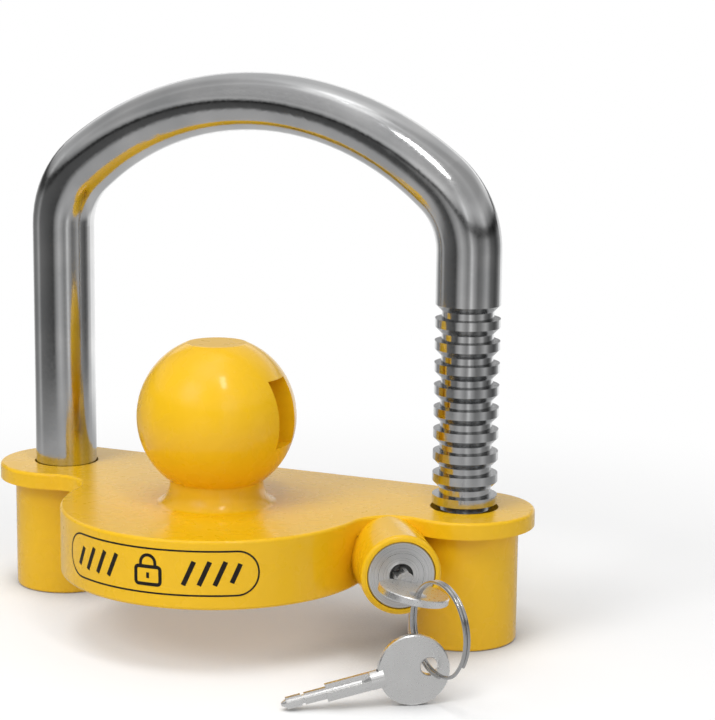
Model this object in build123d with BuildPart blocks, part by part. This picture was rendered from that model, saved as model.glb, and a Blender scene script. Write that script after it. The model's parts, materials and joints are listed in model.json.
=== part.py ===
from build123d import *
import os
from math import asin, atan2, cos, degrees, floor, radians, sin, sqrt

# Trailer coupler lock. Millimetres, +Z up, the front toward -Y.
# Origin: the centre of the ball that fills the coupler's socket.

# ---- Driving dimensions -------------------------------------------------------------------

# Ball and neck
ball_r = 23.4
ball_flat_z = 21.7
ball_edge_round = 1.2
ball_rise = 25.7          # ball centre above the plate's top face
neck_r = 13.8
neck_foot_r = 17.0
neck_foot_round = 1.8
slot_half_width = 5.0     # recess in the ball's right side
slot_bottom_z = -6.9
slot_top_z = 12.5
slot_floor_x = 13.5

# Plate, ears and tray
disc_r = 45.8             # round front of the plate, centred on the ball
ball_to_legs = 26.8       # the shackle's plane lies this far behind the ball
ear_r = 20.7
ear_thickness = 4.9
ear_blend_r = 12.0
edge_round = 0.9
tray_depth = 19.8
tray_wall = 3.4
tray_corner_r = 6.0        # the two back corners of the hollow
plate_thickness = 5.0
web_thickness = 5.0
web_depth = 14.0

# Collars that the shackle's legs run through
leg_spacing = 135.4
rod_r = 9.525
rod_clearance = 0.5
collar_r = 16.0
collar_height = 39.5

# Shackle
crown_bend_r = 91.5       # centreline radius of the crown
corner_bend_r = 25.0      # centreline radius of the two corners
crown_top = 124.2         # above the plate at rest
crown_half_height = 8.6   # the crown is pressed flatter than the rod
leg_tip = -36.5           # lower ends of both legs, from the plate's top face
plain_leg_end_round = 2.2
first_shoulder = 59.9     # where the plain rod ends above the plate
tooth_pitch = 6.5
groove_taper = 1.925      # 45 degrees, so this is the groove's depth too
groove_neck = 2.1
cone_length = 10.6
cone_tip_r = 2.7
end_ring_least = 3.0

# Lock: its axis points to the right of the front
lock_angle = 33.5
lock_drop = 11.7          # lock axis below the plate's top face
lock_to_leg = 24.2        # from the lock axis to the right leg's axis
face_to_bolt = 30.25      # from the lock's face back to the bolt's axis
housing_r = 11.5
housing_round = 1.2
housing_back_wall = 3.0
shell_r = 9.75
shell_length = 22.0
face_recess = 0.3
plug_r = 6.5
plug_neck_r = 5.5
plug_end_gap = 0.6        # plug to bolt
key_mouth_r = 3.4
key_mouth_depth = 1.2
clip_width = 0.8
clip_r = 7.7
pin_row_depth = 5.0
pin_r = 1.1
driver_length = 0.95
pin_spring_length = 1.1
retaining_pin_r = 1.5
retaining_pin_depth = 15.0
retaining_pin_bite = 1.5
bolt_r = 4.0
bolt_tail = 7.0
bolt_spring_length = 8.0
bore_plug_length = 5.5
bolt_boss_r = 7.0
cam_r = 1.2
cam_throw = 2.2           # the cam pin's distance from the lock axis
key_turn = 90.0

# Keys and ring
bow_r = 9.8
bow_thickness = 2.0
bow_hole_r = 2.4
bow_hole_offset = 4.3
key_gap = 7.8             # bow to the lock's face with the key home
key_roll = 12.0           # the keyway's turn from level, clockwise seen from the front
key_fork_length = 1.6     # the collar is slotted and grips the bow this far in
key_collar_r = 2.6
key_collar_length = 2.1
key_cone_length = 2.4
fin_half_span = 2.5
fin_thickness = 1.1
fin_end = 14.4            # from the bow's edge
key_length = 26.8         # from the bow's edge to the tip
key_tip_half_span = 1.6
key_core_r = 1.2
ring_r = 12.8             # middle of the split ring's wire
ring_wire_r = 0.5
ring_jog = 50.0           # degrees over which the wire steps from one turn to the other
ring_jog_at = 300.0       # from the ring's far side
ring_steps = 96
ring_plane_angle = 55.5
ring_hook_angle = 27.0    # where the key in the lock hangs on the ring
ring_slack = 0.6          # the spare key's hole stands this much above the ring's wire
spare_angle = 33.3

# Small edges and wires
shell_chamfer = 0.35
pin_chamfer = 0.4
bow_chamfer = 0.25
key_waist_from_tip = 6.4
key_waist_width = 0.9
key_point_length = 1.4
key_point_taper = 26.0
clip_mouth = 8.8
pin_wire_r = 0.11
pin_spring_turns = 3
bolt_wire_r = 0.45
bolt_spring_turns = 4
nose_play = 0.18          # bolt's nose to either side of the groove
pin_end_gap = 0.1
retaining_pin_short = 0.5

# Clearances
running = 0.05
sliding = 0.10
hand_gap = 0.15

# ---- Derived places -----------------------------------------------------------------------

plate_top = -ball_rise
floor_z = plate_top - collar_height
leg_x = leg_spacing / 2
leg_y = ball_to_legs
back_y = leg_y + ear_r
bore_r = rod_r + rod_clearance
lock_z = plate_top - lock_drop
neck_groove_r = rod_r - groove_taper

toward_leg = Vector(cos(radians(lock_angle)), sin(radians(lock_angle)), 0)
outward = Vector(sin(radians(lock_angle)), -cos(radians(lock_angle)), 0)
right_leg = Vector(leg_x, leg_y, lock_z)
bolt_crossing = right_leg - toward_leg * lock_to_leg
face_centre = bolt_crossing + outward * face_to_bolt

# In lock_plane x runs toward the right leg, y up and z out of the lock's face.
lock_plane = Plane(origin=face_centre, x_dir=toward_leg, z_dir=outward)
bolt_section = lock_plane.offset(-face_to_bolt)
retaining_pin_seat = lock_plane.from_local_coords(
    (0, retaining_pin_bite - shell_r, -retaining_pin_depth)
)
retaining_pin_plane = Plane(origin=retaining_pin_seat, x_dir=toward_leg, z_dir=(0, 0, -1))
# In bolt_plane x is up, y out of the lock and z toward the leg.
bolt_plane = Plane(origin=bolt_crossing, x_dir=(0, 0, 1), z_dir=toward_leg)

# The bolt's nose sits in the groove that is nearest to the lock axis at rest.
groove_height = groove_taper + groove_neck
tooth_land = tooth_pitch - groove_height
groove_count = floor(
    (first_shoulder - leg_tip - cone_length - end_ring_least + tooth_land) / tooth_pitch
)
first_neck_z = plate_top + first_shoulder - groove_taper - groove_neck / 2
groove_at_bolt = round((first_neck_z - lock_z + bolt_r / 2) / tooth_pitch)
nose_rise = first_neck_z - groove_at_bolt * tooth_pitch - lock_z
nose_half = groove_neck / 2 - nose_play

# The cam pin swings evenly either side of square to the bolt.
cam_swing = key_turn / 2
bolt_travel = 2 * cam_throw * sin(radians(cam_swing))
nose_out = lock_to_leg - neck_groove_r - hand_gap
nose_at_rest = nose_out - bolt_travel
bolt_bore_r = bolt_r + sliding
plug_end = face_to_bolt - bolt_r - plug_end_gap
bore_plug_at = bolt_tail + 2 * sliding + bolt_spring_length + sliding
bolt_boss_end = bore_plug_at + bore_plug_length
chamber_r = pin_r + running
driver_at = plug_r + 3 * running
pin_spring_at = driver_at + driver_length + running
pin_cap_at = pin_spring_at + pin_spring_length + running
pin_row_angles = [0, 90, 180, 270]


def pin_row(angle):
    """The plane whose z runs out from the lock axis along one row of pins."""
    turn = radians(angle - key_roll)
    out = toward_leg * cos(turn) + Vector(0, 0, 1) * sin(turn)
    middle = face_centre - outward * (face_recess + pin_row_depth)
    return Plane(origin=middle, x_dir=outward, z_dir=out)


def blend_arc(ear, radius):
    """Where an arc of this radius leaves the ear's circle, its middle, and where it meets the disc."""
    to_disc = Vector(-ear.X, -ear.Y, 0)
    span = to_disc.length
    along = to_disc.normalized()
    across = Vector(ear.Y, -ear.X, 0) * (1 if ear.X > 0 else -1) * (1 / span)
    ear_side = ear_r + radius
    disc_side = disc_r + radius
    run = (ear_side**2 - disc_side**2 + span**2) / (2 * span)
    centre = ear + along * run + across * sqrt(ear_side**2 - run**2)
    on_ear = ear + (centre - ear) * (ear_r / ear_side)
    on_disc = centre * (disc_r / disc_side)
    middle = centre + ((on_ear - centre) + (on_disc - centre)).normalized() * radius
    return on_ear, middle, on_disc


# ---- Lock body: one casting ---------------------------------------------------------------

os.makedirs("parts", exist_ok=True)

right_ear = Vector(leg_x, leg_y, 0)
on_ear, blend_middle, on_disc = blend_arc(right_ear, ear_blend_r)
ear_start = degrees(atan2(on_ear.Y - leg_y, on_ear.X - leg_x))
ear_middle_angle = radians((90 + ear_start) / 2)
ear_middle = right_ear + Vector(cos(ear_middle_angle), sin(ear_middle_angle), 0) * ear_r


def flipped(point):
    return Vector(-point.X, point.Y, 0)


with BuildPart() as lock_body:
    # Deep tray with a round front, then the flat plate that carries the ears
    with BuildSketch(Plane.XY.offset(plate_top)):
        Circle(disc_r)
        with Locations((0, back_y / 2)):
            Rectangle(2 * disc_r, back_y)
    extrude(amount=-tray_depth)
    fillet(lock_body.faces().sort_by(Axis.Z)[0].edges(), edge_round)
    with BuildSketch(Plane.XY.offset(plate_top)):
        with BuildLine():
            Line((-leg_x, back_y), (leg_x, back_y))
            ThreePointArc((leg_x, back_y), ear_middle, on_ear)
            ThreePointArc(on_ear, blend_middle, on_disc)
            ThreePointArc(on_disc, (0, -disc_r), flipped(on_disc))
            ThreePointArc(flipped(on_disc), flipped(blend_middle), flipped(on_ear))
            ThreePointArc(flipped(on_ear), flipped(ear_middle), (-leg_x, back_y))
        make_face()
    extrude(amount=-ear_thickness)
    fillet(lock_body.faces().sort_by(Axis.Z)[-1].outer_wire().edges(), edge_round)

    # Hollow underside
    with BuildSketch(Plane.XY.offset(plate_top - tray_depth)) as tray_hollow:
        Circle(disc_r - tray_wall)
        inner_back = back_y - tray_wall
        with Locations((0, inner_back / 2)):
            Rectangle(2 * (disc_r - tray_wall), inner_back)
        fillet(tray_hollow.vertices().group_by(Axis.Y)[-1], tray_corner_r)
    extrude(amount=tray_depth - plate_thickness, mode=Mode.SUBTRACT)

    # Collars, and the webs that tie them to the tray's back wall
    for side in (-1, 1):
        with BuildSketch(Plane.XY.offset(plate_top - edge_round)):
            with Locations((side * leg_x, leg_y)):
                Circle(collar_r)
        extrude(amount=edge_round - collar_height)
        web_from = disc_r - tray_wall
        web_to = leg_x - collar_r + 3 * edge_round
        with BuildSketch(Plane.XY.offset(plate_top - edge_round)):
            with Locations((side * (web_from + web_to) / 2, back_y - edge_round - web_thickness)):
                Rectangle(web_to - web_from, web_thickness)
        extrude(amount=-web_depth)
    collar_feet = lock_body.faces().filter_by(Axis.Z).group_by(Axis.Z)[0]
    fillet(collar_feet.edges(), edge_round)

    # Lock housing and the boss around the bolt
    with BuildSketch(lock_plane):
        Circle(housing_r)
    extrude(amount=-(face_to_bolt + bolt_r + housing_back_wall))
    housing_face = lock_body.faces().sort_by(lambda face: (face.center() - face_centre).length)[0]
    fillet(housing_face.edges(), housing_round)
    with BuildSketch(bolt_plane.offset(-bolt_boss_end)):
        Circle(bolt_boss_r)
    extrude(amount=bolt_boss_end + lock_to_leg - (bore_r + collar_r) / 2)

    # Neck and ball
    with BuildSketch(Plane.XZ):
        with BuildLine():
            neck_top_z = -sqrt(ball_r**2 - neck_r**2)
            flat_r = sqrt(ball_r**2 - ball_flat_z**2)
            Polyline((0, ball_flat_z), (0, plate_top - 1), (neck_foot_r, plate_top - 1))
            Line((neck_foot_r, plate_top - 1), (neck_foot_r, plate_top))
            ThreePointArc(
                (neck_foot_r, plate_top),
                (neck_r + 0.2 * (neck_foot_r - neck_r), (0.55 * plate_top + 0.45 * neck_top_z)),
                (neck_r, neck_top_z),
            )
            ThreePointArc((neck_r, neck_top_z), (ball_r, 0), (flat_r, ball_flat_z))
            Line((flat_r, ball_flat_z), (0, ball_flat_z))
        make_face()
    revolve(axis=Axis.Z)
    foot = lock_body.edges().filter_by(GeomType.CIRCLE).filter_by(
        lambda edge: abs(edge.radius - neck_foot_r) < 0.01 and edge.center().Z > plate_top - 0.1
    )
    fillet(foot, neck_foot_round)
    ball_flat = lock_body.faces().sort_by(Axis.Z)[-1]
    fillet(ball_flat.edges(), ball_edge_round)
    with BuildSketch(Plane.YZ.offset(slot_floor_x)):
        with Locations((0, (slot_bottom_z + slot_top_z) / 2)):
            Rectangle(2 * slot_half_width, slot_top_z - slot_bottom_z)
    extrude(amount=ball_r, mode=Mode.SUBTRACT)

    # Bores for the legs
    with BuildSketch(Plane.XY.offset(plate_top + edge_round)):
        with Locations((-leg_x, leg_y), (leg_x, leg_y)):
            Circle(bore_r)
    extrude(amount=-(collar_height + 2 * edge_round), mode=Mode.SUBTRACT)

    # Stepped bore for the lock cylinder, then the plug's tail and the cam
    with BuildSketch(lock_plane):
        Circle(shell_r + running)
    extrude(amount=-(shell_length + 2 * clip_width + face_recess), mode=Mode.SUBTRACT)
    with BuildSketch(lock_plane):
        Circle(plug_r + hand_gap)
    extrude(amount=-(plug_end + hand_gap), mode=Mode.SUBTRACT)
    with BuildSketch(lock_plane):
        Circle(cam_throw + cam_r + 2 * hand_gap)
    extrude(amount=-(face_to_bolt + cam_r), mode=Mode.SUBTRACT)

    # Bore for the bolt, open into the right leg's bore, and the retaining pin's hole
    with BuildSketch(bolt_plane.offset(lock_to_leg)):
        Circle(bolt_bore_r)
    extrude(amount=-(lock_to_leg + bolt_boss_end + 1), mode=Mode.SUBTRACT)
    with BuildSketch(retaining_pin_plane):
        Circle(retaining_pin_r + running)
    extrude(amount=housing_r, mode=Mode.SUBTRACT)

lock_body.part.label = "lock_body"
export_step(lock_body.part, "parts/lock_body.step")


# ---- Shackle ------------------------------------------------------------------------------

crown_z = plate_top + crown_top - crown_half_height
crown_centre_z = crown_z - crown_bend_r
corner_x = leg_x - corner_bend_r
corner_z = crown_centre_z + sqrt((crown_bend_r - corner_bend_r) ** 2 - corner_x**2)
crown_half_angle = degrees(atan2(corner_x, corner_z - crown_centre_z))
joint_x = crown_bend_r * sin(radians(crown_half_angle))
joint_z = crown_centre_z + crown_bend_r * cos(radians(crown_half_angle))
tip_z = plate_top + leg_tip
shackle_plane = Plane.XZ.offset(-leg_y)

with BuildPart() as shackle:
    # Crown: round at its ends, flatter in the middle
    with BuildLine(shackle_plane) as crown_path:
        ThreePointArc((-joint_x, joint_z), (0, crown_z), (joint_x, joint_z))
    for place, half_height in ((0.0, rod_r), (0.5, crown_half_height), (1.0, rod_r)):
        section = Plane(
            origin=crown_path.line @ place, x_dir=(0, 1, 0), z_dir=crown_path.line % place
        )
        with BuildSketch(section):
            if half_height < rod_r:
                Ellipse(rod_r, half_height)
            else:
                Circle(rod_r)
    sweep(path=crown_path.line, multisection=True)

    for side in (-1, 1):
        # Corner, bent about an axis parallel to Y
        with BuildSketch(Plane.XY.offset(corner_z)):
            with Locations((side * leg_x, leg_y)):
                Circle(rod_r)
        bend_axis = Axis((side * corner_x, leg_y, corner_z), (0, -side, 0))
        revolve(axis=bend_axis, revolution_arc=90 - crown_half_angle)
        # Plain leg: the whole left one, and the right one down to its first tooth
        plain_end = tip_z if side < 0 else plate_top + first_shoulder
        with BuildSketch(Plane.XY.offset(corner_z)):
            with Locations((side * leg_x, leg_y)):
                Circle(rod_r)
        extrude(amount=plain_end - corner_z)
    fillet(shackle.faces().filter_by(Axis.Z).sort_by(Axis.Z)[0].edges(), plain_leg_end_round)

    # Ratchet teeth: each groove tapers in from above and stops at the square top of a ring
    with BuildSketch(Plane.XZ.offset(-leg_y)):
        with BuildLine():
            outline = [(leg_x, plate_top + first_shoulder + 1)]
            outline.append((leg_x + rod_r, plate_top + first_shoulder + 1))
            for i in range(groove_count):
                top = plate_top + first_shoulder - i * tooth_pitch
                outline.append((leg_x + rod_r, top))
                outline.append((leg_x + neck_groove_r, top - groove_taper))
                outline.append((leg_x + neck_groove_r, top - groove_height))
                outline.append((leg_x + rod_r, top - groove_height))
            outline.append((leg_x + rod_r, tip_z + cone_length))
            outline.append((leg_x + cone_tip_r, tip_z))
            outline.append((leg_x, tip_z))
            Polyline(*outline, close=True)
        make_face()
    revolve(axis=Axis((leg_x, leg_y, 0), (0, 0, 1)))

shackle.part.label = "shackle"
export_step(shackle.part, "parts/shackle.step")


# ---- Lock cylinder ------------------------------------------------------------------------

shell_front = lock_plane.offset(-face_recess)

with BuildPart() as lock_cylinder_shell:
    with BuildSketch(shell_front):
        Circle(shell_r)
        Circle(plug_r + running, mode=Mode.SUBTRACT)
    extrude(amount=-shell_length)
    rim = lock_cylinder_shell.faces().filter_by(lambda face: face.is_planar)
    front_face = rim.sort_by(lambda face: (face.center() - face_centre).length)[0]
    chamfer(front_face.outer_wire().edges(), shell_chamfer)
    for angle in pin_row_angles:
        with BuildSketch(pin_row(angle)):
            Circle(chamber_r)
        extrude(amount=shell_r, mode=Mode.SUBTRACT)
    with BuildSketch(retaining_pin_plane):
        Circle(retaining_pin_r + running)
    extrude(amount=shell_r, mode=Mode.SUBTRACT)

lock_cylinder_shell.part.label = "lock_cylinder_shell"
export_step(lock_cylinder_shell.part, "parts/lock_cylinder_shell.step")

with BuildPart() as cylinder_retaining_pin:
    with BuildSketch(retaining_pin_plane.offset(running)):
        Circle(retaining_pin_r)
        Circle(retaining_pin_r / 2, mode=Mode.SUBTRACT)
    extrude(amount=housing_r - shell_r + retaining_pin_bite - retaining_pin_short)

cylinder_retaining_pin.part.label = "cylinder_retaining_pin"
export_step(cylinder_retaining_pin.part, "parts/cylinder_retaining_pin.step")

clip_at = face_recess + shell_length + running
keyway_end = key_length - key_gap + hand_gap
cam_local = (-cam_throw * sin(radians(cam_swing)), cam_throw * cos(radians(cam_swing)))

with BuildPart() as lock_plug:
    with BuildSketch(shell_front):
        Circle(plug_r)
    extrude(amount=-(plug_end - face_recess))
    # Round mouth, then the cross keyway with its round core
    with BuildSketch(shell_front):
        Circle(key_mouth_r)
    extrude(amount=-key_mouth_depth, mode=Mode.SUBTRACT)
    with BuildSketch(shell_front):
        with Locations(Location((0, 0, 0), (0, 0, -key_roll))):
            Rectangle(2 * (fin_half_span + hand_gap), fin_thickness + 2 * sliding)
            Rectangle(fin_thickness + 2 * sliding, 2 * (fin_half_span + hand_gap))
        Circle(key_core_r + hand_gap)
    extrude(amount=face_recess - keyway_end, mode=Mode.SUBTRACT)
    # Groove for the clip, and the four pin chambers
    with BuildSketch(lock_plane.offset(-clip_at)):
        Circle(plug_r + 1)
        Circle(plug_neck_r, mode=Mode.SUBTRACT)
    extrude(amount=-(clip_width + 2 * running), mode=Mode.SUBTRACT)
    for angle in pin_row_angles:
        with BuildSketch(pin_row(angle)):
            Circle(chamber_r)
        extrude(amount=plug_r + 1, mode=Mode.SUBTRACT)
    # Cam pin that drives the bolt
    with BuildSketch(lock_plane.offset(-plug_end)):
        with Locations(cam_local):
            Circle(cam_r)
    extrude(amount=-(face_to_bolt - plug_end))

lock_plug.part.label = "lock_plug"
export_step(lock_plug.part, "parts/lock_plug.step")

with BuildPart() as plug_clip:
    with BuildSketch(lock_plane.offset(-clip_at - running)):
        Circle(clip_r)
        Circle(plug_neck_r + running, mode=Mode.SUBTRACT)
        with Locations((0, -clip_r)):
            Rectangle(clip_mouth, 2 * clip_r, mode=Mode.SUBTRACT)
    extrude(amount=-clip_width)

plug_clip.part.label = "plug_clip"
export_step(plug_clip.part, "parts/plug_clip.step")


# ---- Pin stacks: one row in each of the four directions -----------------------------------

for number, angle in enumerate(pin_row_angles, start=1):
    row = pin_row(angle)

    with BuildPart() as key_pin:
        with BuildSketch(row.offset(fin_half_span + sliding)):
            Circle(pin_r)
        extrude(amount=plug_r - running - fin_half_span - sliding)
        inner_edge = key_pin.edges().group_by(lambda edge: (edge.center() - row.origin).length)[0]
        chamfer(inner_edge, pin_chamfer)
    key_pin.part.label = f"key_pin_{number}"
    export_step(key_pin.part, f"parts/key_pin_{number}.step")

    with BuildPart() as driver_pin:
        with BuildSketch(row.offset(driver_at)):
            Circle(pin_r)
        extrude(amount=driver_length)
    driver_pin.part.label = f"driver_pin_{number}"
    export_step(driver_pin.part, f"parts/driver_pin_{number}.step")

    with BuildPart() as pin_spring:
        rise = pin_spring_length - 2 * pin_wire_r
        coil = Helix(rise / pin_spring_turns, rise, pin_r - pin_wire_r - running)
        coil = row.offset(pin_spring_at + pin_wire_r).location * coil
        with BuildSketch(Plane(origin=coil @ 0, z_dir=coil % 0)):
            Circle(pin_wire_r)
        sweep(path=coil, is_frenet=True)
    pin_spring.part.label = f"pin_spring_{number}"
    export_step(pin_spring.part, f"parts/pin_spring_{number}.step")

    with BuildPart() as pin_cap:
        with BuildSketch(row.offset(pin_cap_at)):
            Circle(pin_r)
        extrude(amount=shell_r - running - pin_cap_at - pin_end_gap)
    pin_cap.part.label = f"pin_cap_{number}"
    export_step(pin_cap.part, f"parts/pin_cap_{number}.step")


# ---- Bolt, its spring and the plug behind it ----------------------------------------------

with BuildPart() as locking_bolt:
    with BuildSketch(bolt_plane.offset(-bolt_tail)):
        Circle(bolt_r)
    extrude(amount=bolt_tail + nose_at_rest)
    # Nose: a square lower edge that hooks under a ring, and a 45 degree ramp above it
    with BuildSketch(bolt_section):
        with BuildLine():
            ramp_foot = nose_rise + nose_half
            ramp = bolt_r + 1 - ramp_foot
            Polyline(
                (nose_at_rest, ramp_foot),
                (nose_at_rest - ramp, bolt_r + 1),
                (nose_at_rest + 1, bolt_r + 1),
                (nose_at_rest + 1, ramp_foot),
                close=True,
            )
        make_face()
        with BuildLine():
            sill = nose_rise - nose_half
            Polyline(
                (nose_at_rest - groove_taper - 2 * hand_gap, sill),
                (nose_at_rest + 1, sill),
                (nose_at_rest + 1, -bolt_r - 1),
                (nose_at_rest - groove_taper - 2 * hand_gap, -bolt_r - 1),
                close=True,
            )
        make_face()
    extrude(amount=2 * bolt_r, both=True, mode=Mode.SUBTRACT)
    # Slot for the cam pin, open above
    with BuildSketch(bolt_section):
        slot_x = -cam_throw * sin(radians(cam_swing))
        slot_floor = cam_throw * cos(radians(cam_swing)) - cam_r - 2 * hand_gap
        with Locations((slot_x, (slot_floor + bolt_r + 1) / 2)):
            Rectangle(2 * (cam_r + hand_gap), bolt_r + 1 - slot_floor)
    extrude(amount=bolt_r + 1, mode=Mode.SUBTRACT)
    with BuildSketch(bolt_section):
        with Locations((slot_x, (slot_floor + bolt_r + 1) / 2)):
            Rectangle(2 * (cam_r + hand_gap), bolt_r + 1 - slot_floor)
    extrude(amount=-2 * hand_gap, mode=Mode.SUBTRACT)

locking_bolt.part.label = "locking_bolt"
export_step(locking_bolt.part, "parts/locking_bolt.step")

with BuildPart() as bolt_spring:
    spring_rise = bolt_spring_length - 2 * bolt_wire_r
    spring_path = Helix(spring_rise / bolt_spring_turns, spring_rise, bolt_r - 2 * bolt_wire_r)
    spring_base = bolt_plane.offset(-(bolt_tail + 2 * sliding + bolt_spring_length - bolt_wire_r))
    spring_path = spring_base.location * spring_path
    with BuildSketch(Plane(origin=spring_path @ 0, z_dir=spring_path % 0)):
        Circle(bolt_wire_r)
    sweep(path=spring_path, is_frenet=True)

bolt_spring.part.label = "bolt_spring"
export_step(bolt_spring.part, "parts/bolt_spring.step")

with BuildPart() as bolt_bore_plug:
    with BuildSketch(bolt_plane.offset(-bore_plug_at)):
        Circle(bolt_r + running)
    extrude(amount=-(bore_plug_length - hand_gap))
    # Hexagon socket for the assembly key
    with BuildSketch(bolt_plane.offset(-bore_plug_at - bore_plug_length + hand_gap)):
        RegularPolygon(bolt_r / 2, 6)
    extrude(amount=bore_plug_length / 2, mode=Mode.SUBTRACT)

bolt_bore_plug.part.label = "bolt_bore_plug"
export_step(bolt_bore_plug.part, "parts/bolt_bore_plug.step")


# ---- Keys: a cross blade pressed into a round bow -----------------------------------------


def make_key(plane, blade_name, bow_name):
    """One key. The plane's origin is the bow's centre, its x runs to the tip, its z is the bow's normal."""
    with BuildPart() as bow:
        with BuildSketch(plane.offset(-bow_thickness / 2)):
            Circle(bow_r)
            with Locations((-bow_hole_offset, 0)):
                Circle(bow_hole_r, mode=Mode.SUBTRACT)
        extrude(amount=bow_thickness)
        chamfer(bow.edges().filter_by(GeomType.CIRCLE), bow_chamfer)
    bow.part.label = bow_name
    export_step(bow.part, f"parts/{bow_name}.step")

    def across(distance):
        """The plane square to the blade at this distance from the bow's edge."""
        origin = plane.from_local_coords((bow_r + distance, 0, 0))
        return Plane(origin=origin, x_dir=plane.z_dir, z_dir=plane.x_dir)

    with BuildPart() as blade:
        # Collar with a slot that the bow's edge sits in, then a cone down to the core
        with BuildSketch(across(-key_fork_length)):
            Circle(key_collar_r)
        extrude(amount=key_fork_length + key_collar_length)
        with BuildSketch(across(running)):
            Rectangle(bow_thickness + 2 * running, 2 * key_collar_r + 1)
        extrude(amount=-(key_fork_length + 1), mode=Mode.SUBTRACT)
        cone_taper = degrees(atan2(key_collar_r - key_core_r, key_cone_length))
        with BuildSketch(across(key_collar_length)):
            Circle(key_collar_r)
        extrude(amount=key_cone_length, taper=cone_taper)
        with BuildSketch(across(key_collar_length)):
            Rectangle(2 * fin_half_span, fin_thickness)
            Rectangle(fin_thickness, 2 * fin_half_span)
            Circle(key_core_r)
        extrude(amount=fin_end - key_collar_length)
        with BuildSketch(across(fin_end)):
            Rectangle(2 * key_tip_half_span, fin_thickness)
            Rectangle(fin_thickness, 2 * key_tip_half_span)
            Circle(key_core_r)
        extrude(amount=key_length - key_point_length - fin_end)
        # A waist near the tip, and a blunt point
        with BuildSketch(across(key_length - key_waist_from_tip)):
            Circle(fin_half_span)
            Circle(key_core_r, mode=Mode.SUBTRACT)
        extrude(amount=key_waist_width, mode=Mode.SUBTRACT)
        with BuildSketch(across(key_length - key_point_length)):
            Circle(key_core_r)
        extrude(amount=key_point_length, taper=key_point_taper)
    blade.part.label = blade_name
    export_step(blade.part, f"parts/{blade_name}.step")


bow_centre = face_centre + outward * (key_gap + bow_r)
roll = radians(key_roll)
bow_normal = Vector(0, 0, cos(roll)) + toward_leg * sin(roll)
key_plane = Plane(origin=bow_centre, x_dir=outward * -1, z_dir=bow_normal)
make_key(key_plane, "key_blade", "key_bow")


# ---- Split ring ---------------------------------------------------------------------------

ring_along = Vector(sin(radians(ring_plane_angle)), -cos(radians(ring_plane_angle)), 0)
hook = radians(ring_hook_angle)
key_hole = bow_centre + outward * bow_hole_offset
ring_centre = key_hole + ring_along * (ring_r * cos(hook)) - Vector(0, 0, ring_r * sin(hook))
ring_plane = Plane(origin=ring_centre, x_dir=ring_along, z_dir=ring_along.cross(Vector(0, 0, 1)))

with BuildPart() as key_ring:
    # Two flat turns side by side. The wire steps across over the jog, between its two ends.
    ring_pitch = 2 * ring_wire_r + running
    ring_points = []
    for step in range(ring_steps + 1):
        turned = ring_jog / 2 + step * (720 - ring_jog) / ring_steps
        across_jog = min(max((turned - 360) / ring_jog + 0.5, 0), 1)
        height = ring_pitch * (across_jog**2 * (3 - 2 * across_jog) - 0.5)
        angle = radians(turned + ring_jog_at)
        ring_points.append(
            ring_plane.from_local_coords((ring_r * cos(angle), ring_r * sin(angle), height))
        )
    with BuildLine() as ring_path:
        Spline(*ring_points)
    with BuildSketch(Plane(origin=ring_path.line @ 0, z_dir=ring_path.line % 0)):
        Circle(ring_wire_r)
    sweep(path=ring_path.line)

key_ring.part.label = "key_ring"
export_step(key_ring.part, "parts/key_ring.step")


# ---- Spare key, standing on its bow's edge and its tip ------------------------------------

spare_dip = asin((bow_r - key_tip_half_span) / (bow_r + key_length))
spare_turn = radians(spare_angle)
spare_direction = Vector(
    -cos(spare_dip) * cos(spare_turn), -cos(spare_dip) * sin(spare_turn), -sin(spare_dip)
)
spare_normal = Vector(sin(spare_turn), -cos(spare_turn), 0)
spare_centre_z = floor_z + bow_r
wire_z = spare_centre_z + bow_hole_offset * sin(spare_dip) - ring_slack
wire_back = sqrt(ring_r**2 - (ring_centre.Z - wire_z) ** 2)
spare_hole = ring_centre - ring_along * wire_back
spare_hole = Vector(spare_hole.X, spare_hole.Y, wire_z + ring_slack)
spare_centre = spare_hole + spare_direction * bow_hole_offset
spare_plane = Plane(origin=spare_centre, x_dir=spare_direction, z_dir=spare_normal)
make_key(spare_plane, "spare_key_blade", "spare_key_bow")
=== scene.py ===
import json
from math import atan2, cos, radians, sin

import bmesh
import bpy
from mathutils import Matrix, Vector


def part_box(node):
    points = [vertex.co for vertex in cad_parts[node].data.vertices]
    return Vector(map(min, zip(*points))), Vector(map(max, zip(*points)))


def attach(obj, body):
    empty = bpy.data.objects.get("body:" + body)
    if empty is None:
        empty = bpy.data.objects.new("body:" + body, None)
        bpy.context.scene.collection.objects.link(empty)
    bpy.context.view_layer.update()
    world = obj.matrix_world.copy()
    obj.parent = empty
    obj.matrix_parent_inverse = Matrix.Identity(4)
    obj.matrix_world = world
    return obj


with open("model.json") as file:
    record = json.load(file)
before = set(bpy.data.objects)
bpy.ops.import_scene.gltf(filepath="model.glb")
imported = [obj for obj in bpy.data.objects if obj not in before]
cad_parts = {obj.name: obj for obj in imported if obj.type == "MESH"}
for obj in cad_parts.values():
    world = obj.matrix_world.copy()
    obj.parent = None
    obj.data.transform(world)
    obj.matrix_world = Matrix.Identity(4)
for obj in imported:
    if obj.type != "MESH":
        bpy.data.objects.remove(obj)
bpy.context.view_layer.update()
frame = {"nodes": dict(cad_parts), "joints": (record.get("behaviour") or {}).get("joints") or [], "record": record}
nodes = frame["nodes"]
mounts = {mount["name"]: Vector(mount["pos_m"]) for mount in frame["record"]["mounts"]}
floor_z = mounts["left_foot"].z
camera_place = Vector((0.2924, -0.5592, 0.1325))


# ---- Node helpers -------------------------------------------------------------------------

def new_material(name):
    material = bpy.data.materials.new(name)
    material.use_nodes = True
    tree = material.node_tree
    return material, tree, tree.nodes["Principled BSDF"]


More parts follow.
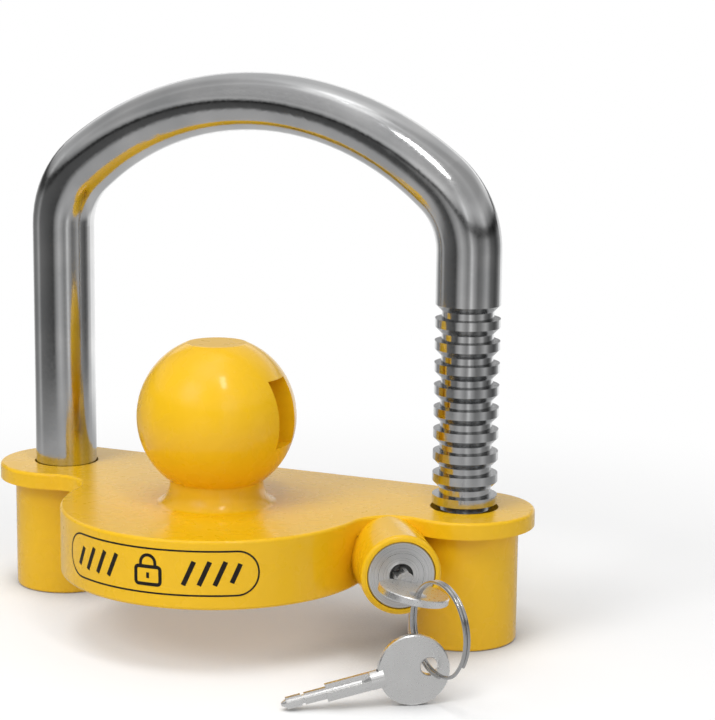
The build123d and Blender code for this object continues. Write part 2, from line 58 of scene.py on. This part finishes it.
def node(tree, kind, inputs=None, **settings):
    made = tree.nodes.new(kind)
    for key, value in settings.items():
        setattr(made, key, value)
    for key, value in (inputs or {}).items():
        if isinstance(value, bpy.types.NodeSocket):
            tree.links.new(value, made.inputs[key])
        else:
            made.inputs[key].default_value = value
    return made


def coords(tree, scale=(1.0, 1.0, 1.0), turn=(0.0, 0.0, 0.0)):
    """The part's own coordinates in metres, scaled and turned."""
    place = node(tree, "ShaderNodeTexCoord")
    mapping = node(tree, "ShaderNodeMapping", {"Scale": scale, "Rotation": turn})
    tree.links.new(place.outputs["Object"], mapping.inputs["Vector"])
    return mapping.outputs["Vector"]


def noise(tree, vector, scale, detail=2.0, roughness=0.5):
    made = node(tree, "ShaderNodeTexNoise", {"Scale": scale, "Detail": detail, "Roughness": roughness})
    tree.links.new(vector, made.inputs["Vector"])
    return made.outputs["Fac"]


def ramp(tree, fac, stops):
    made = node(tree, "ShaderNodeValToRGB", {"Fac": fac})
    elements = made.color_ramp.elements
    while len(elements) < len(stops):
        elements.new(0.5)
    for element, (position, colour) in zip(elements, stops):
        element.position = position
        element.color = (*colour, 1.0)
    return made.outputs["Color"]


def spread(tree, fac, low, high):
    """A number that runs from low to high as fac runs over the middle of its range."""
    made = node(
        tree, "ShaderNodeMapRange",
        {"Value": fac, "From Min": 0.3, "From Max": 0.7, "To Min": low, "To Max": high},
    )
    return made.outputs["Result"]


def mix_colour(tree, fac, first, grey):
    """first where fac is 0, and an even grey where it is 1."""
    made = node(tree, "ShaderNodeMix", {0: fac, 6: first, 7: (grey, grey, grey, 1.0)}, data_type="RGBA")
    return made.outputs[2]


def bump(tree, shader, height, strength, distance, under=None):
    made = node(tree, "ShaderNodeBump", {"Height": height, "Strength": strength, "Distance": distance})
    if under is not None:
        tree.links.new(under, made.inputs["Normal"])
    tree.links.new(made.outputs["Normal"], shader.inputs["Normal"])
    return made.outputs["Normal"]


def set_values(shader, **values):
    for key, value in values.items():
        shader.inputs[key.replace("_", " ")].default_value = value


# ---- Materials ----------------------------------------------------------------------------

def powder_coat():
    """Glossy yellow powder coat: slight orange peel, and colour that varies a little in depth."""
    material, tree, shader = new_material("yellow_powder_coat")
    place = coords(tree)
    broad = noise(tree, place, 28.0, 3.0)
    colour = ramp(tree, broad, [(0.3, (0.82, 0.475, 0.006)), (0.7, (0.845, 0.495, 0.008))])
    tree.links.new(colour, shader.inputs["Base Color"])
    gloss = noise(tree, place, 160.0, 2.0)
    tree.links.new(spread(tree, gloss, 0.24, 0.32), shader.inputs["Roughness"])
    set_values(shader, Coat_Weight=0.4, Coat_Roughness=0.08, Specular_IOR_Level=0.25)
    peel = noise(tree, place, 420.0, 1.0)
    lumps = noise(tree, place, 90.0, 1.0)
    first = bump(tree, shader, lumps, 0.12, 0.0006)
    bump(tree, shader, peel, 0.35, 0.00012, under=first)
    return material


def plated_rod():
    """Polished, plated bar: a fine bumpy mottle and faint broad clouds in its colour."""
    material, tree, shader = new_material("plated_rod")
    place = coords(tree)
    mottle = noise(tree, place, 900.0, 3.0, 0.7)
    cloud = noise(tree, place, 60.0, 2.0)
    colour = ramp(tree, cloud, [(0.35, (0.56, 0.565, 0.57)), (0.65, (0.66, 0.66, 0.66))])
    tree.links.new(colour, shader.inputs["Base Color"])
    tree.links.new(spread(tree, mottle, 0.10, 0.18), shader.inputs["Roughness"])
    set_values(shader, Metallic=1.0)
    bump(tree, shader, mottle, 0.12, 0.00005)
    return material


def turned_steel():
    """The lock's face: concentric turning marks around its axis, and painted shade that darkens the keyway."""
    material, tree, shader = new_material("turned_steel")
    joint = next(j for j in frame["joints"] if j["name"] == "plug_turn")
    centre, axis = Vector(joint["pos_m"]), Vector(joint["axis"]).normalized()
    across = axis.cross(Vector((0, 0, 1))).normalized()
    up = across.cross(axis)

    def vector_math(operation, first, second=None):
        inputs = {0: first} if second is None else {0: first, 1: second}
        made = node(tree, "ShaderNodeVectorMath", inputs, operation=operation)
        return made.outputs["Value" if operation in ("DOT_PRODUCT", "LENGTH") else "Vector"]

    place = node(tree, "ShaderNodeTexCoord").outputs["Object"]
    away = vector_math("SUBTRACT", place, centre)
    side = vector_math("DOT_PRODUCT", away, across)
    high = vector_math("DOT_PRODUCT", away, up)
    flat = node(tree, "ShaderNodeCombineXYZ", {"X": side, "Y": high})
    reach = vector_math("LENGTH", flat.outputs[0])
    rings = node(
        tree, "ShaderNodeTexNoise", {"W": reach, "Scale": 5200.0, "Detail": 2.0}, noise_dimensions="1D",
    )
    grain = rings.outputs["Fac"]
    colour = ramp(tree, grain, [(0.25, (0.68, 0.68, 0.675)), (0.75, (0.90, 0.895, 0.89))])
    # Painted shade: just behind the face the steel's colour is darkened to near black, so that the keyway reads as
    # a shadowed hole.
    painted_keyway_shade = node(
        tree, "ShaderNodeMapRange",
        {"Value": vector_math("DOT_PRODUCT", away, axis), "From Min": -0.0002, "From Max": -0.0016},
    ).outputs["Result"]
    tree.links.new(mix_colour(tree, painted_keyway_shade, colour, 0.02), shader.inputs["Base Color"])
    tree.links.new(spread(tree, grain, 0.26, 0.40), shader.inputs["Roughness"])
    around = vector_math("CROSS_PRODUCT", away, axis)
    tree.links.new(vector_math("NORMALIZE", around), shader.inputs["Tangent"])
    set_values(shader, Metallic=1.0, Anisotropic=0.75)
    bump(tree, shader, grain, 0.3, 0.00004)
    return material


def satin_metal(name, low, high, rough_low, rough_high, scale=700.0, strength=0.2):
    """Plain metal with a fine irregular grain."""
    material, tree, shader = new_material(name)
    place = coords(tree)
    grain = noise(tree, place, scale, 4.0, 0.65)
    colour = ramp(tree, noise(tree, place, scale / 8, 2.0), [(0.3, low), (0.7, high)])
    tree.links.new(colour, shader.inputs["Base Color"])
    tree.links.new(spread(tree, grain, rough_low, rough_high), shader.inputs["Roughness"])
    set_values(shader, Metallic=1.0)
    bump(tree, shader, grain, strength, 0.00005)
    return material


def printed_black():
    """Printed ink, a little uneven in gloss."""
    material, tree, shader = new_material("printed_black")
    place = coords(tree)
    speckle = noise(tree, place, 900.0, 3.0)
    colour = ramp(tree, speckle, [(0.3, (0.010, 0.008, 0.006)), (0.7, (0.018, 0.015, 0.012))])
    tree.links.new(colour, shader.inputs["Base Color"])
    tree.links.new(spread(tree, speckle, 0.28, 0.42), shader.inputs["Roughness"])
    set_values(shader, Specular_IOR_Level=0.2)
    bump(tree, shader, speckle, 0.1, 0.00005)
    return material


yellow = powder_coat()
chrome = plated_rod()
face_steel = turned_steel()
ground_steel = satin_metal("ground_steel", (0.36, 0.36, 0.365), (0.50, 0.50, 0.50), 0.25, 0.38)
spring_steel = satin_metal("spring_wire", (0.25, 0.25, 0.26), (0.36, 0.36, 0.37), 0.28, 0.40)
brass = satin_metal("turned_brass", (0.62, 0.42, 0.15), (0.74, 0.54, 0.24), 0.25, 0.38)
nickel = satin_metal("nickel_plate", (0.86, 0.855, 0.845), (0.90, 0.895, 0.885), 0.24, 0.36, 1400.0, 0.08)
bright_wire = satin_metal("bright_wire", (0.52, 0.52, 0.52), (0.64, 0.635, 0.63), 0.12, 0.20, 500.0, 0.12)
ink = printed_black()

by_slot = {
    "yellow_coat": yellow,
    "shackle_steel": chrome,
    "lock_face_steel": face_steel,
    "pin_steel": ground_steel,
    "spring_steel": spring_steel,
    "pin_brass": brass,
    "key_nickel": nickel,
    "ring_steel": bright_wire,
}
for part in frame["record"]["subparts"]:
    mesh = nodes[part["node"]].data
    mesh.materials.clear()
    mesh.materials.append(by_slot[part["material_slot"]])


# ---- Printed mark on the round wall: a plain outline, bars and a padlock sign ----------------

MM = 0.001
wall_r = -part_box("lock_body")[0].y
mark_middle = radians(-87.0)
mark_z = floor_z + 30.3 * MM
mark_proud = 0.04 * MM


def on_wall(u, v):
    """A point on the round wall: u runs along it and v up it, in millimetres from the mark's middle."""
    angle = mark_middle + u * MM / wall_r
    reach = wall_r + mark_proud
    return Vector((reach * cos(angle), reach * sin(angle), mark_z + v * MM))


def stroke(made, points, width, closed=False):
    """A line of even width through points in (u, v)."""
    pairs = []
    count = len(points)
    for i, point in enumerate(points):
        before = points[(i - 1) % count] if closed or i > 0 else point
        after = points[(i + 1) % count] if closed or i < count - 1 else point
        run = Vector((after[0] - before[0], after[1] - before[1])).normalized()
        side = Vector((-run.y, run.x)) * width / 2
        left = made.verts.new(on_wall(point[0] + side.x, point[1] + side.y))
        right = made.verts.new(on_wall(point[0] - side.x, point[1] - side.y))
        pairs.append((left, right))
    for i in range(count if closed else count - 1):
        (a, b), (c, d) = pairs[i], pairs[(i + 1) % count]
        made.faces.new((a, b, d, c))


def rounded(half_length, half_height, corner, step=3):
    """A closed outline with round corners, as points no more than about a millimetre apart."""
    points = []
    corners = ((1, 1, 0), (-1, 1, 90), (-1, -1, 180), (1, -1, 270))
    for index, (x, y, start) in enumerate(corners):
        middle = Vector((x * (half_length - corner), y * (half_height - corner)))
        for turn in range(0, 91, step * 3):
            angle = radians(start + turn)
            points.append(middle + Vector((cos(angle), sin(angle))) * corner)
        next_x, next_y, next_start = corners[(index + 1) % 4]
        next_middle = Vector((next_x * (half_length - corner), next_y * (half_height - corner)))
        angle = radians(next_start)
        target = next_middle + Vector((cos(angle), sin(angle))) * corner
        run = target - points[-1]
        pieces = max(1, int(run.length))
        origin = points[-1]
        points.extend(origin + run * (i / pieces) for i in range(1, pieces))
    return points


def mark():
    made = bmesh.new()
    stroke(made, rounded(31.4, 6.3, 6.2), 0.5, closed=True)
    for centre in (-25.0, -20.6, -16.2, -11.8, 11.8, 16.2, 20.6, 25.0):
        height = 2.7 if abs(centre) > 24 else 3.4
        ends = (Vector((centre - 0.45 * height, -height)), Vector((centre + 0.45 * height, height)))
        stroke(made, [ends[0].lerp(ends[1], i / 4) for i in range(5)], 1.35)
    body = [point + Vector((0, -1.4)) for point in rounded(3.7, 2.5, 0.9)]
    stroke(made, body, 1.0, closed=True)
    bow = [Vector((-2.2, 1.3)), Vector((-2.2, 2.0))]
    bow += [Vector((-2.2 * cos(radians(a)), 2.2 + 2.2 * sin(radians(a)))) for a in range(0, 181, 15)]
    bow += [Vector((2.2, 2.0)), Vector((2.2, 1.3))]
    stroke(made, bow, 0.9)
    stroke(made, [Vector((0, -0.6 - 0.4 * i)) for i in range(5)], 0.9)
    bmesh.ops.recalc_face_normals(made, faces=made.faces)
    mesh = bpy.data.meshes.new("printed_mark")
    made.to_mesh(mesh)
    made.free()
    mesh.materials.append(ink)
    piece = bpy.data.objects.new("printed_mark", mesh)
    bpy.context.scene.collection.objects.link(piece)
    skin = piece.modifiers.new("thickness", "SOLIDIFY")
    skin.thickness = 0.03 * MM
    skin.offset = 0.0
    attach(piece, "casting")


mark()


# ---- Studio -------------------------------------------------------------------------------

def mix_in(tree, base, extra, rays):
    """base for light and shade, extra as well for the named kinds of ray."""
    path = node(tree, "ShaderNodeLightPath")
    seen = path.outputs[rays[0]]
    for ray in rays[1:]:
        seen = node(tree, "ShaderNodeMath", {0: seen, 1: path.outputs[ray]}, operation="MAXIMUM").outputs[0]
    mixed = node(tree, "ShaderNodeMixShader", {0: seen})
    tree.links.new(base, mixed.inputs[1])
    tree.links.new(extra, mixed.inputs[2])
    return mixed.outputs[0]


seen_rays = ("Is Camera Ray", "Is Glossy Ray", "Is Transmission Ray")

world = bpy.data.worlds.new("studio")
bpy.context.scene.world = world
world.use_nodes = True
tree = world.node_tree
dim = node(tree, "ShaderNodeBackground", {"Color": (1.0, 1.0, 1.0, 1.0), "Strength": 0.42})
white = node(tree, "ShaderNodeBackground", {"Color": (1.0, 1.0, 1.0, 1.0), "Strength": 1.0})
tree.links.new(
    mix_in(tree, dim.outputs[0], white.outputs[0], seen_rays),
    tree.nodes["World Output"].inputs["Surface"],
)


def plate(name, corners):
    mesh = bpy.data.meshes.new(name)
    mesh.from_pydata([Vector(c) for c in corners], [], [tuple(range(len(corners)))])
    made = bpy.data.objects.new(name, mesh)
    bpy.context.scene.collection.objects.link(made)
    return made


def floor():
    """A white floor that keeps the object's shadow and turns into the white background further out."""
    half = 6.0
    made = plate("floor", [
        (-half, -half, floor_z), (half, -half, floor_z), (half, half, floor_z), (-half, half, floor_z),
    ])
    material, tree, shader = new_material("floor_white")
    place = coords(tree)
    speckle = noise(tree, place, 40.0, 2.0)
    colour = ramp(tree, speckle, [(0.3, (0.80, 0.80, 0.80)), (0.7, (0.82, 0.82, 0.82))])
    tree.links.new(colour, shader.inputs["Base Color"])
    set_values(shader, Roughness=0.6, Specular_IOR_Level=0.2)
    # Painted shade: close under the object the seen floor's colour is darkened further by an ambient-occlusion
    # term, a painted contact shadow.
    painted_contact_shade_ao = node(tree, "ShaderNodeAmbientOcclusion", {"Distance": 0.035}, samples=12)
    depth = node(
        tree, "ShaderNodeMapRange",
        {"Value": painted_contact_shade_ao.outputs["AO"], "From Min": 0.22, "From Max": 0.80, "To Min": 0.25, "To Max": 1.0},
    ).outputs["Result"]
    lit = node(tree, "ShaderNodeMath", {0: depth, 1: 0.70}, operation="MULTIPLY").outputs[0]
    lift = node(tree, "ShaderNodeEmission", {"Color": depth, "Strength": 0.28})
    near = node(tree, "ShaderNodeAddShader")
    tree.links.new(node(tree, "ShaderNodeBsdfDiffuse", {"Color": lit}).outputs[0], near.inputs[0])
    tree.links.new(lift.outputs[0], near.inputs[1])
    away = node(tree, "ShaderNodeVectorMath", {0: place}, operation="LENGTH").outputs["Value"]
    fade = node(
        tree, "ShaderNodeMapRange", {"Value": away, "From Min": 0.14, "From Max": 0.34},
        interpolation_type="SMOOTHSTEP",
    )
    far = node(tree, "ShaderNodeEmission", {"Color": (1.0, 1.0, 1.0, 1.0), "Strength": 1.0})
    seen = node(tree, "ShaderNodeMixShader", {0: fade.outputs["Result"]})
    tree.links.new(near.outputs[0], seen.inputs[1])
    tree.links.new(far.outputs[0], seen.inputs[2])
    tree.links.new(
        mix_in(tree, shader.outputs[0], seen.outputs[0], seen_rays),
        tree.nodes["Material Output"].inputs["Surface"],
    )
    made.data.materials.append(material)


# The surround's section, from the middle of the floor up the wall and over the roof, as distance
# from the object's middle and height above the floor, in metres.
ring_lift = 0.0005
surround_section = [(reach, ring_lift) for reach in (0.001, 0.07, 0.13, 0.20, 0.30, 0.45)]
surround_section += [(0.45, 0.08), (0.45, 0.18), (0.45, 0.30)]
surround_section += [(0.42, 0.44), (0.30, 0.56), (0.15, 0.61), (0.02, 0.62)]
camera_bearing = atan2(camera_place.y, camera_place.x)
eye_height = 0.115        # near the top of the raised shackle
level_shade = 0.36        # what the bearings' shades even out to away from the level
glow_strength = 4.0       # the two shades are multiplied, and the second is written a quarter as large
# Bearings in degrees from the camera's own, growing to the right as it looks at the object.
bearing_shades = [
    (-178, 0.95), (-160, 0.80), (-148, 0.40), (-136, 0.18), (-120, 0.24), (-110, 0.42), (-100, 0.16),
    (-64, 0.09), (-46, 0.06), (-36, 0.30), (-22, 0.52), (-10, 0.36), (-1, 0.24), (6, 0.34), (12, 0.74),
    (20, 0.40), (34, 0.16), (46, 0.22), (62, 0.46), (76, 0.16), (96, 0.08), (108, 0.18), (118, 0.60),
    (132, 0.95), (178, 0.98),
]
# Heights of the line of sight in degrees.
height_shades = [
    (-80, 0.36), (-48, 0.36), (-30, 0.33), (-14, 0.28), (-5, 0.22), (-2, 0.05), (2, 0.05), (5, 0.36),
    (12, 0.46), (24, 0.32), (50, 0.34), (72, 0.46), (80, 0.85),
]


def surround_mesh():
    made = bmesh.new()
    rows = []
    for bearing in range(-180, 181, 4):
        angle = camera_bearing + radians(bearing)
        rows.append([
            made.verts.new((reach * cos(angle), reach * sin(angle), floor_z + height))
            for reach, height in surround_section
        ])
    for before, after in zip(rows, rows[1:]):
        for i in range(len(surround_section) - 1):
            made.faces.new((before[i], before[i + 1], after[i + 1], after[i]))
    mesh = bpy.data.meshes.new("surround")
    made.to_mesh(mesh)
    made.free()
    return mesh


def surround_grey():
    """The surround's shade, by the bearing around the object and the height of the line of sight."""
    material, tree, _ = new_material("surround_grey")

    def math(operation, first, second):
        return node(tree, "ShaderNodeMath", {0: first, 1: second}, operation=operation).outputs[0]

    def map_range(value, low, high, top=1.0):
        inputs = {"Value": value, "From Min": radians(low), "From Max": radians(high), "To Max": top}
        return node(tree, "ShaderNodeMapRange", inputs).outputs["Result"]

    place = node(tree, "ShaderNodeTexCoord").outputs["Object"]
    turned = node(tree, "ShaderNodeMapping", {"Vector": place, "Rotation": (0.0, 0.0, -camera_bearing)})
    split = node(tree, "ShaderNodeSeparateXYZ", {"Vector": turned.outputs["Vector"]})
    flat = node(tree, "ShaderNodeCombineXYZ", {"X": split.outputs["X"], "Y": split.outputs["Y"]})
    reach = node(tree, "ShaderNodeVectorMath", {0: flat.outputs[0]}, operation="LENGTH").outputs["Value"]
    bearing = math("ARCTAN2", split.outputs["Y"], split.outputs["X"])
    sight = math("ARCTAN2", math("SUBTRACT", split.outputs["Z"], eye_height), reach)
    by_bearing = ramp(
        tree, map_range(bearing, -180, 180), [((b + 180) / 360, (v, v, v)) for b, v in bearing_shades],
    )
    by_height = ramp(
        tree, map_range(sight, -90, 90), [((h + 90) / 180, (v, v, v)) for h, v in height_shades],
    )
    off_level = math("ADD", map_range(sight, 2, 16, 0.75), map_range(sight, -24, -38, 0.9))
    even = mix_colour(tree, off_level, by_bearing, level_shade)
    shade = node(tree, "ShaderNodeVectorMath", {0: even, 1: by_height}, operation="MULTIPLY").outputs[0]
    glow = node(tree, "ShaderNodeEmission", {"Color": shade, "Strength": glow_strength})
    tree.links.new(glow.outputs[0], tree.nodes["Material Output"].inputs["Surface"])
    return material


def surround():
    """What shiny metal sees: a grey room around the object, bright behind it. Only reflections see it."""
    mesh = surround_mesh()
    mesh.materials.append(surround_grey())
    shell = bpy.data.objects.new("surround", mesh)
    bpy.context.scene.collection.objects.link(shell)
    shell.visible_camera = False
    shell.visible_diffuse = False
    shell.visible_shadow = False
    shell.visible_transmission = False


floor()
surround()


def lamp(name, place, size, power, target=(0.0, 0.0, 0.0)):
    light = bpy.data.lights.new(name, "AREA")
    light.shape = "RECTANGLE"
    light.size, light.size_y = size
    light.energy = power
    made = bpy.data.objects.new(name, light)
    made.location = place
    made.rotation_euler = (Vector(target) - Vector(place)).to_track_quat("-Z", "Y").to_euler()
    made.visible_camera = False
    bpy.context.scene.collection.objects.link(made)


lamp("softbox_left", (-0.35, -1.0, 0.90), (0.55, 0.55), 6.6)
lamp("softbox_top", (-0.1, -0.35, 1.25), (0.8, 0.6), 5.6)
lamp("softbox_right", (0.85, -0.75, 0.60), (0.5, 0.7), 2.5)
lamp("strip", (0.157, -0.165, 0.365), (0.05, 0.14), 0.22)


# ---- Camera -------------------------------------------------------------------------------

yaw, tilt, roll = radians(23.88), radians(10.4), radians(0.62)
forward = Vector((-sin(yaw) * cos(tilt), cos(yaw) * cos(tilt), -sin(tilt)))
right = forward.cross(Vector((0, 0, 1))).normalized()
up = right.cross(forward)
camera = bpy.data.objects.new("camera", bpy.data.cameras.new("camera"))
camera_right = right * cos(roll) + up * sin(roll)
camera_up = up * cos(roll) - right * sin(roll)
camera.matrix_world = Matrix((
    (camera_right.x, camera_up.x, -forward.x, camera_place.x),
    (camera_right.y, camera_up.y, -forward.y, camera_place.y),
    (camera_right.z, camera_up.z, -forward.z, camera_place.z),
    (0, 0, 0, 1),
))
camera.data.lens = 110.0
camera.data.sensor_width = 36.0
bpy.context.scene.collection.objects.link(camera)
bpy.context.scene.camera = camera
bpy.context.scene.view_settings.view_transform = "Standard"
